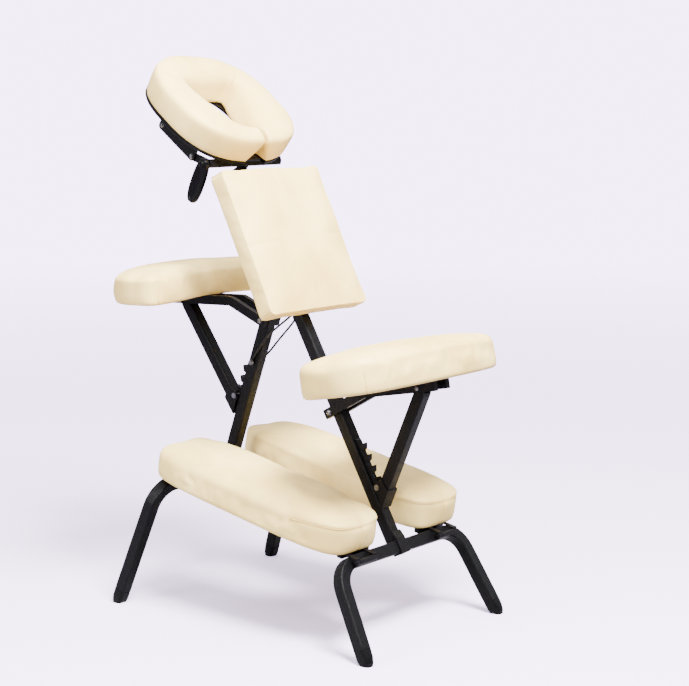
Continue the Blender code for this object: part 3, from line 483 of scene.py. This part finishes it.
def inflate(obj, held, cap, pressure=4.0, stretch=0.010):
    """Puffs a closed cover by cloth pressure; held points stay, and none moves beyond cap."""
    rest = [v.co.copy() for v in obj.data.vertices]
    group = obj.vertex_groups.new(name="held")
    group.add(held, 1.0, "REPLACE")
    cloth = obj.modifiers.new("cloth", "CLOTH")
    settings = cloth.settings
    settings.quality = 6
    settings.mass = 0.25
    settings.tension_stiffness = 18
    settings.compression_stiffness = 18
    settings.shear_stiffness = 8
    settings.bending_stiffness = 2.0
    settings.use_pressure = True
    settings.uniform_pressure_force = pressure
    settings.shrink_min = -stretch
    settings.vertex_group_mass = "held"
    settings.effector_weights.gravity = 0.0
    scene = bpy.context.scene
    for step in range(1, CLOTH_FRAMES + 1):
        scene.frame_set(step)
    puffed = obj.evaluated_get(bpy.context.evaluated_depsgraph_get()).to_mesh()
    points = [v.co.copy() for v in puffed.vertices]
    obj.modifiers.remove(cloth)
    obj.vertex_groups.clear()
    for vertex, start, end in zip(obj.data.vertices, rest, points):
        move = end - start
        vertex.co = start + move * min(1.0, cap / max(move.length, 1e-9))
    scene.frame_set(1)


def sculpt(obj, place, folds, dents=(), skip=0):
    """Adds slack waves, and presses elliptical dents (u, v, half_u, half_v, turn, depth)."""
    size, depth, seed = folds
    shift = Vector((seed, seed * 1.7, seed * 0.6))
    vertices = list(obj.data.vertices)[skip:]
    normals = [v.normal.copy() for v in vertices]
    for vertex, normal in zip(vertices, normals):
        point = vertex.co * size + shift
        move = depth * (noise.noise(point) + 0.35 * noise.noise(point * 3.1))
        u, v, _ = place.local(vertex.co)
        for dent_u, dent_v, half_u, half_v, turn, press in dents:
            c, s = math.cos(math.radians(turn)), math.sin(math.radians(turn))
            across, along = u - dent_u, v - dent_v
            reach = ((across * c + along * s) / half_u) ** 2 \
                + ((along * c - across * s) / half_v) ** 2
            move -= press * math.exp(-reach) * max(0.0, normal.dot(place.w))
        vertex.co += normal * move


def seam_tube(name, line, body):
    add_piece(name, round_tube(line, SEAM_RADIUS, 6), "cream_leather", body)


def stitches(name, line, out, body, pitch=0.0055):
    """Short raised stitches of thread along a line; out points away from the cover there."""
    bm = bmesh.new()
    travelled = 0.0
    for a, b, away in zip(line, line[1:], out):
        travelled += (b - a).length
        if travelled < pitch:
            continue
        travelled -= pitch
        along = (b - a).normalized()
        side = along.cross(away).normalized()
        rings = []
        for reach, size in ((-0.0016, 0.0001), (-0.0011, 0.0004), (0.0011, 0.0004),
                            (0.0016, 0.0001)):
            rings.append([a + away * 0.0002 + along * reach
                          + size * (side * math.cos(2 * math.pi * k / 5)
                                    + away * math.sin(2 * math.pi * k / 5)) for k in range(5)])
        skin(bm, rings)
    piece = add_mesh(name, bm, THREAD)
    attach(piece, body)


def top_seam(cushion, body, first, last, groove=0.0019):
    """Sinks the seam ring from one outline point to another, with a thread row above it."""
    line, upper, away = [], [], []
    for i in range(first, last + 1):
        vertex = cushion.vertex(cushion.seam_ring, i)
        normal = vertex.normal.copy()
        ends = min(1.0, (i - first) / 5, (last - i) / 5)
        vertex.co -= normal * groove * ends
        line.append(vertex.co + normal * (groove * 0.3))
        over = cushion.vertex(cushion.seam_ring + 1, i)
        upper.append(vertex.co.lerp(over.co, 0.55) + over.normal * 0.0006)
        away.append(over.normal.copy())
    seam_tube(cushion.name + "_seam", line, body)
    stitches(cushion.name + "_stitches", upper, away, body)


def band_seam(cushion, number, u, v, body, depth=0.0016):
    """A seam up the side band, from the back to the top edge, at one point of the outline."""
    index = cushion.nearest(u, v)
    line = []
    for ring in range(cushion.back_rings - 1, cushion.seam_ring + 1):
        vertex = cushion.vertex(ring, index)
        line.append(vertex.co - vertex.normal * (depth * 0.35))
        vertex.co -= vertex.normal * depth
    seam_tube(f"{cushion.name}_band_seam_{number}", line, body)


def finish_cover(obj, node_name, body):
    subdivide(obj)
    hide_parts(node_name)
    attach(obj, body)


def back_points(cushion):
    return list(range((cushion.back_rings + 1) * cushion.count))


def make_seat():
    cushion = Cushion("seat_cushion", PadPlace(0.2380, 0.5830, 10.9),
                      superellipse(0.237, 0.115, 3.4), 0.070, 0.014,
                      lambda u, v: 0.012 + 0.008 * (u / 0.237) ** 2, 7)
    cushion.build()
    inflate(cushion.obj, back_points(cushion), 0.003)
    sculpt(cushion.obj, cushion.place, (9.0, 0.0018, 3.0),
           ((0.02, 0.105, 0.05, 0.03, 0, 0.0030), (-0.11, 0.100, 0.05, 0.02, 20, 0.0025)),
           len(back_points(cushion)))
    for number, (u, v) in enumerate(((0.222, 0.09), (-0.222, 0.09), (0.222, -0.09),
                                     (-0.222, -0.09))):
        band_seam(cushion, number, u, v, "seat")
    finish_cover(cushion.obj, "seat_pad", "seat")


def make_armrest():
    outline = kidney(superellipse(0.261, 0.099, 3.2), 0.095, 0.020, 0.170)
    outline = [(u, v - 0.020) for u, v in outline]
    cushion = Cushion("armrest_cushion", PadPlace(-0.3304, 0.7110, 2.5), outline, 0.060, 0.012,
                      0.012, 6, centre_v=-0.010)
    cushion.build()
    inflate(cushion.obj, back_points(cushion), 0.0035)
    sculpt(cushion.obj, cushion.place, (11.0, 0.0018, 8.0),
           ((0.03, 0.035, 0.018, 0.05, 35, 0.0035), (-0.05, 0.04, 0.014, 0.05, -30, 0.0030),
            (0.09, 0.060, 0.012, 0.04, 50, 0.0020)), len(back_points(cushion)))
    for number, (u, v) in enumerate(((0.0, 0.06), (0.235, 0.15), (-0.235, 0.15))):
        band_seam(cushion, number, u, v, "armrest")
    finish_cover(cushion.obj, "armrest_pad", "armrest")


def make_chest():
    cushion = Cushion("chest_cushion", PadPlace(-0.0346, 0.7926, -63.8),
                      pinch(superellipse(0.1525, 0.1625, 26.0), 0.006), 0.041, 0.015, 0.0035, 6,
                      board=0.014)
    cushion.build()
    inflate(cushion.obj, back_points(cushion) + list(cushion.ring(cushion.seam_ring + 2)),
            0.006, 4.0, 0.004)
    sculpt(cushion.obj, cushion.place, (7.0, 0.0026, 5.0),
           ((-0.060, -0.085, 0.052, 0.048, 20, 0.0110), (0.055, 0.045, 0.030, 0.050, -15, 0.0060),
            (-0.03, 0.03, 0.02, 0.07, 15, 0.0035)), len(back_points(cushion)))
    for number, (u, v) in enumerate(((0.152, 0.162), (-0.152, 0.162), (0.152, -0.162),
                                     (-0.152, -0.162))):
        band_seam(cushion, number, u, v, "chest")
    finish_cover(cushion.obj, "chest_pad", "chest")


def soft_side(outer, v):
    """1 along a knee pad's outer side, falling to 0 round its rear end and inner side."""
    across = min(1.0, max(0.0, 0.5 + outer / 0.10))
    along = min(1.0, max(0.0, (0.235 - v) / 0.12))
    return across * along


def make_knees():
    for side, sign in (("left", 1.0), ("right", -1.0)):
        cushion = Cushion(f"knee_{side}_cushion", PadPlace(0.0, 0.3045, -10.5, sign * 0.134),
                          superellipse(0.090, 0.262, 4.5), 0.066, 0.019,
                          lambda u, v: 0.010 + 0.012 * soft_side(sign * u, v), 7)
        body = f"knee_{side}"
        cushion.build()
        inflate(cushion.obj, back_points(cushion), 0.004)
        inner = -0.056 * sign
        sculpt(cushion.obj, cushion.place, (8.0, 0.0022, 12.0 + sign),
               ((inner, 0.175, 0.022, 0.009, -20 * sign, 0.0085),
                (inner * 0.5, 0.185, 0.045, 0.028, 0, 0.0060),
                (inner, -0.215, 0.018, 0.010, 25 * sign, 0.0040)), len(back_points(cushion)))
        first = cushion.nearest(0.088, 0.150)
        last = cushion.nearest(-0.088, 0.150)
        top_seam(cushion, body, first, last)
        for number, (u, v) in enumerate(((0.0, 0.262), (-0.089 * sign, -0.170),
                                         (0.0, -0.262))):
            band_seam(cushion, number, u, v, body)
        finish_cover(cushion.obj, f"knee_{side}_pad", body)


CRADLE_THICK = 0.057
CRADLE_SECTION = (
    (-0.12, -1.00), (0.28, -1.00), (0.65, -1.00), (0.98, -1.00), (1.00, -0.96), (1.01, -0.75),
    (1.02, -0.50), (1.025, -0.24), (1.02, -0.08), (0.985, 0.02), (0.90, 0.09), (0.76, 0.145),
    (0.58, 0.18), (0.42, 0.175), (0.27, 0.12), (0.14, 0.04), (0.05, -0.08), (0.00, -0.24),
    (-0.04, -0.50), (-0.10, -0.75), (-0.16, -0.96))


def cradle_rim(t, height):
    """Outer and inner rim at t, lobe to lobe; the notch between the lobes widens downwards."""
    gap = math.radians(1.5 + 8.0 * max(0.0, -0.20 - height))
    angle = math.pi / 2 - gap - (2 * math.pi - 2 * gap) * t
    c, s = math.cos(angle), math.sin(angle)
    outer = Vector((0.153 * math.copysign(abs(c) ** 0.8, c),
                    0.149 * math.copysign(abs(s) ** 0.8, s)))
    turn = 1.8 * gap + (2 * math.pi - 3.6 * gap) * t
    c, s = math.cos(turn), math.sin(turn)
    along = 0.082 * math.copysign(abs(c) ** 0.36, c)
    half = 0.054 - 0.30 * along
    return outer, Vector((half * math.copysign(abs(s) ** 0.36, s), 0.014 + along))


def cradle_ring(place, t, size=1.0, push=0.0):
    """One section of the horseshoe, shrunk about its middle and pushed out past a lobe's end."""
    ring = []
    for across, height in CRADLE_SECTION:
        outer, inner = cradle_rim(t, height)
        point = inner.lerp(outer, 0.5 + (across - 0.5) * size)
        ring.append(place.at(point.x - push, point.y, (-0.42 + (height + 0.42) * size)
                             * CRADLE_THICK))
    return ring


def make_cradle():
    """Face cushion: tall side walls, a domed top, a deep well and a pinched notch behind."""
    place = PadPlace(-0.2328, 1.0799, -37.0)
    steps = 150
    ends = ((0.45, 0.0028), (0.75, 0.0024), (0.93, 0.0012))
    rings = [cradle_ring(place, 0.0, size, push) for size, push in ends]
    rings += [cradle_ring(place, i / steps) for i in range(steps + 1)]
    rings += [cradle_ring(place, 1.0, size, -push) for size, push in reversed(ends)]
    bm = bmesh.new()
    skin(bm, rings)
    obj = add_mesh("cradle_cushion", bm, MATS["cream_leather"])
    width = len(CRADLE_SECTION)
    held = [i for i, v in enumerate(obj.data.vertices)
            if place.local(v.co)[2] < -0.93 * CRADLE_THICK]
    inflate(obj, held, 0.002, 4.0, 0.004)
    sculpt(obj, place, (14.0, 0.0020, 21.0),
           ((0.115, -0.075, 0.010, 0.030, 40, 0.0030), (0.03, 0.125, 0.020, 0.010, 20, 0.0030),
            (-0.03, 0.125, 0.020, 0.010, -20, 0.0030)))
    for number, t in enumerate((0.365, 0.635)):
        column = (round(t * steps) + len(ends)) * width
        line = []
        for k in range(14, width):
            vertex = obj.data.vertices[column + k]
            line.append(vertex.co - vertex.normal * 0.0006)
            vertex.co -= vertex.normal * 0.0020
        seam_tube(f"cradle_well_seam_{number}", line, "face_cradle")
    finish_cover(obj, "cradle_pad", "face_cradle")
    make_plate_rim(place, steps)


def make_plate_rim(place, steps):
    """The horseshoe plate's rolled edge, which shows as a black line under the cushion."""
    rings = []
    for i in range(steps + 1):
        outer, inner = cradle_rim(i / steps, -1.0)
        rings.append([place.at(*inner.lerp(outer, across), -CRADLE_THICK - drop)
                      for across, drop in ((0.60, 0.0003), (0.985, 0.0003), (0.995, 0.0013),
                                           (0.995, 0.0053), (0.985, 0.0063), (0.60, 0.0063))])
    bm = bmesh.new()
    skin(bm, rings)
    add_piece("cradle_plate_rim", bm, "black_plastic", "face_cradle", 40)


# ---- fittings --------------------------------------------------------------------------------
def x_ring(centre, x, radius, facet=0.0):
    """A circle about an X axis, or a hexagon as facet goes to 1."""
    ring = []
    for i in range(24):
        angle = 2 * math.pi * i / 24
        flat = math.cos(math.pi / 6) / math.cos((angle + math.pi / 6) % (math.pi / 3)
                                                - math.pi / 6)
        reach = radius * (1 + facet * (flat - 1))
        ring.append(centre + Vector((x, reach * math.cos(angle), reach * math.sin(angle))))
    return ring


def make_bolt(node_name, body, head_side=1.0):
    """Button-head socket bolt; a long one also gets a flanged nut at its other end."""
    low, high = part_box(node_name)
    centre = Vector((0.0, (low[1] + high[1]) / 2, (low[2] + high[2]) / 2))
    head, tail = (high[0], low[0]) if head_side > 0 else (low[0], high[0])
    radius = (high[2] - low[2]) / 2 * 0.80
    shank = 0.0040 if radius > 0.0054 else 0.0030
    profile = [(tail, shank * 0.80), (tail + head_side * 0.0005, shank)]
    profile += [(head - head_side * back, size) for back, size in (
        (0.0042, shank), (0.0041, radius), (0.0036, radius), (0.0035, radius * 0.88),
        (0.0028, radius * 0.88), (0.0014, radius * 0.80), (0.0004, radius * 0.62),
        (0.0, radius * 0.50), (0.0, radius * 0.44), (0.0003, radius * 0.40),
        (0.0022, radius * 0.38), (0.0024, radius * 0.10))]
    bm = bmesh.new()
    skin(bm, [x_ring(centre, x, size) for x, size in profile])
    add_piece(node_name + "_detail", bm, "zinc_steel", body, 35, node_name)
    if abs(head - tail) < 0.03:
        return
    near = tail + head_side * 0.0058
    bm = bmesh.new()
    skin(bm, [x_ring(centre, near - head_side * back, radius * size, facet)
              for back, size, facet in ((0, 0.98, 0), (0.0008, 0.98, 0), (0.0010, 0.86, 1),
                                        (0.0042, 0.84, 1), (0.0047, 0.72, 0),
                                        (0.0047, 0.62, 0))])
    add_piece(node_name + "_nut", bm, "zinc_steel", body, 35)


def make_knob(node_name, body):
    """Five-lobed clamp knob with a domed cap, on a short collar."""
    low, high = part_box(node_name)
    centre = Vector([(a + b) / 2 for a, b in zip(low, high)])
    axis = -OUT
    across = Vector((1.0, 0.0, 0.0))
    other = axis.cross(across)
    start = centre - axis * 0.0125
    profile = ((0.0000, 0.0034, 0.0), (0.0030, 0.0034, 0.0), (0.0031, 0.0066, 0.0),
               (0.0105, 0.0066, 0.0), (0.0120, 0.0100, 0.05), (0.0132, 0.0122, 0.12),
               (0.0215, 0.0122, 0.14), (0.0232, 0.0112, 0.12), (0.0240, 0.0085, 0.05),
               (0.0241, 0.0060, 0.0), (0.0250, 0.0050, 0.0), (0.0254, 0.0020, 0.0))
    rings = []
    for reach, radius, lobe in profile:
        ring = []
        for i in range(40):
            angle = 2 * math.pi * i / 40
            size = radius * (1 + lobe * (math.cos(5 * angle) - 0.5))
            ring.append(start + axis * reach
                        + size * (across * math.cos(angle) + other * math.sin(angle)))
        rings.append(ring)
    bm = bmesh.new()
    skin(bm, rings)
    add_piece(node_name + "_detail", bm, "black_plastic", body, 40, node_name)


def make_knee_bar(side, sign):
    """Stiffening bar across the underside of a knee pad, just in front of its hinge."""
    place = PadPlace(0.0, 0.3045, -10.5, sign * 0.134)
    section = superellipse(0.0075, 0.0065, 5.0, 20)
    rings = []
    for u, size in ((-0.052, 0.55), (-0.0515, 0.85), (-0.050, 1.0), (0.032, 1.0),
                    (0.0335, 0.85), (0.034, 0.55)):
        rings.append([place.at(u * sign, 0.2420 + v * size, -0.0730 + w * size) for v, w in section])
    bm = bmesh.new()
    skin(bm, rings)
    add_piece(f"knee_{side}_bar", bm, "powder_coat", f"knee_{side}", 40)


def make_lever():
    """Paddle lever with rolled edges and a thumb hollow in its outer face."""
    pivot = Vector((-0.1830 + MID_Y, 0.9450))
    tip = Vector((-0.2180 + MID_Y, 0.8740))
    down = (tip - pivot).normalized()
    side = Vector((-down.y, down.x))
    length = (tip - pivot).length
    outline = []
    for i in range(72):
        angle = 2 * math.pi * i / 72
        along, across = math.cos(angle), math.sin(angle)
        width = 0.0150 + 0.0022 * math.sin(math.pi * (along + 1) / 2 * 0.9)
        reach = length / 2 + (length / 2 + 0.011) * math.copysign(abs(along) ** 0.75, along)
        point = pivot + down * reach + side * width * math.copysign(abs(across) ** 0.6, across)
        outline.append(tuple(point))
    rings = []
    for step, x in ((0.0070, 0.1150), (0.0022, 0.1152), (0.0006, 0.1162), (0.0, 0.1180),
                    (0.0, 0.1236), (0.0006, 0.1254), (0.0022, 0.1266), (0.0042, 0.1268),
                    (0.0062, 0.1258), (0.0085, 0.1250)):
        rings.append([Vector((x, y, z)) for y, z in inset(outline, step)])
    bm = bmesh.new()
    skin(bm, rings)
    add_piece("cam_lever_detail", bm, "black_plastic", "lever", 50, "cam_lever")


def make_cable():
    """Stay cable: up from the strut's bolt, over the beam's tab and back."""
    bolt = Vector((0.0, -0.3375 + MID_Y + 0.5500 * math.sin(FRONT_LEAN),
                   0.5500 * math.cos(FRONT_LEAN)))
    over = Vector((0.0, REAR_FLOOR_Y, 0.0)) + UP * 0.7328 - OUT * 0.0172
    side = 0.0157
    knots = [
        Vector((side, bolt.y + 0.001, bolt.z + 0.0053)),
        Vector((side, bolt.y + 0.018, bolt.z + 0.028)),
        Vector((side - 0.001, bolt.y + 0.046, bolt.z + 0.062)),
        Vector((0.0110, over.y - 0.012, over.z - 0.012)), over.copy(),
        Vector((-0.0110, over.y - 0.009, over.z - 0.016)),
        Vector((0.001 - side, bolt.y + 0.052, bolt.z + 0.052)),
        Vector((-side, bolt.y + 0.022, bolt.z + 0.022)),
        Vector((-side, bolt.y + 0.001, bolt.z + 0.0053))]
    cable = add_mesh("stay_cable_detail", round_tube(smooth_curve(knots, 8), 0.0023, 10),
                     MATS["coated_cable"])
    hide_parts("stay_cable")
    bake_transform(cable)


def dress_all():
    dress_frame()
    make_seat()
    make_armrest()
    make_chest()
    make_knees()
    make_cradle()
    for node_name, body in (("seat_pivot_bolt", "seat_pivot"),
                            ("seat_strut_bolt", "seat_strut_pivot"),
                            ("armrest_pivot_bolt", "armrest_pivot"),
                            ("armrest_strut_bolt", "armrest_strut_pivot"),
                            ("frame_hinge_bolt", "frame")):
        make_bolt(node_name, body)
    for side, sign in (("left", 1.0), ("right", -1.0)):
        make_bolt(f"cradle_pivot_bolt_{side}", "cradle_mast", sign)
        make_bolt(f"cradle_rail_bolt_{side}", "face_cradle", sign)
        make_knee_bar(side, sign)
    make_knob("chest_knob", "chest_clamp")
    make_knob("post_knob", "post_clamp")
    make_lever()
    make_cable()


# ---- stage, light and camera -----------------------------------------------------------------
SKY = (0.950, 0.940, 1.000)
WALL = (1.000, 0.825, 1.250)
WALL_SEEN = 6.1           # brightness of the studio's wall as seen
HORIZON, ZENITH = 0.5, 2.9


def make_floor():
    bm = bmesh.new()
    bmesh.ops.create_circle(bm, cap_ends=True, segments=64, radius=40.0)
    mesh = bpy.data.meshes.new("floor")
    bm.to_mesh(mesh)
    bm.free()
    floor = bpy.data.objects.new("floor", mesh)
    bpy.context.collection.objects.link(floor)
    material, tree, shader = new_material("floor")
    seen = node(tree, "ShaderNodeLightPath").outputs["Is Camera Ray"]
    tint = ramp(tree, seen, ((0.0, (0.26, 0.25, 0.28)), (1.0, (0.90, 0.76, 1.00))))
    tree.links.new(tint, shader.inputs["Base Color"])
    shader.inputs["Roughness"].default_value = 0.7
    shader.inputs["Specular IOR Level"].default_value = 0.1
    glow = node(tree, "ShaderNodeEmission")
    tree.links.new(grey_range(tree, seen, 0.6, WALL_SEEN), glow.inputs["Strength"])
    glow.inputs["Color"].default_value = (*WALL, 1.0)
    far = node(tree, "ShaderNodeTexGradient", gradient_type="SPHERICAL")
    scaled = node(tree, "ShaderNodeMapping")
    scaled.inputs["Scale"].default_value = (0.14, 0.14, 0.14)
    tree.links.new(object_coords(tree), scaled.inputs["Vector"])
    tree.links.new(scaled.outputs["Vector"], far.inputs["Vector"])
    mix = node(tree, "ShaderNodeMixShader")
    fade = grey_range(tree, far.outputs["Fac"], 0.0, 1.0)
    tree.links.new(fade, mix.inputs["Fac"])
    tree.links.new(glow.outputs["Emission"], mix.inputs[1])
    tree.links.new(shader.outputs["BSDF"], mix.inputs[2])
    tree.links.new(mix.outputs["Shader"], tree.nodes["Material Output"].inputs["Surface"])
    mesh.materials.append(material)


def make_light():
    """A wall that looks bright but lights softly, most of it from overhead."""
    world = bpy.data.worlds.new("studio")
    world.use_nodes = True
    tree = world.node_tree
    seen = tree.nodes["Background"]
    seen.inputs["Color"].default_value = (*WALL, 1.0)
    seen.inputs["Strength"].default_value = WALL_SEEN
    dome = node(tree, "ShaderNodeBackground")
    dome.inputs["Color"].default_value = (*SKY, 1.0)
    split = node(tree, "ShaderNodeSeparateXYZ")
    tree.links.new(node(tree, "ShaderNodeTexCoord").outputs["Generated"], split.inputs["Vector"])
    tree.links.new(grey_range(tree, split.outputs["Z"], HORIZON, ZENITH), dome.inputs["Strength"])
    mix = node(tree, "ShaderNodeMixShader")
    path = node(tree, "ShaderNodeLightPath")
    tree.links.new(path.outputs["Is Camera Ray"], mix.inputs["Fac"])
    tree.links.new(dome.outputs["Background"], mix.inputs[1])
    tree.links.new(seen.outputs["Background"], mix.inputs[2])
    tree.links.new(mix.outputs["Shader"], tree.nodes["World Output"].inputs["Surface"])
    bpy.context.scene.world = world
    for name, place, aim, size, power in (
            ("key", (0.6, 1.5, 3.1), (0, 0, 0.5), 1.1, 660),
            ("side", (3.0, -0.6, 1.7), (0, 0, 0.6), 1.2, 120)):
        data = bpy.data.lights.new(name, "AREA")
        data.size = size
        data.energy = power
        lamp = bpy.data.objects.new(name, data)
        lamp.location = place
        direction = Vector(aim) - Vector(place)
        lamp.rotation_euler = direction.to_track_quat("-Z", "Y").to_euler()
        bpy.context.collection.objects.link(lamp)


def make_camera():
    data = bpy.data.cameras.new("camera")
    data.sensor_width = 36.0
    data.lens = 88.88
    camera = bpy.data.objects.new("camera", data)
    camera.location = (2.656, 2.330 + MID_Y, 1.102)
    look = Vector((-0.7570, -0.6363, -0.1485))
    camera.rotation_euler = look.to_track_quat("-Z", "Y").to_euler()
    data.clip_start = 0.1
    data.clip_end = 200.0
    bpy.context.collection.objects.link(camera)
    bpy.context.scene.camera = camera


dress_all()
make_floor()
make_light()
make_camera()
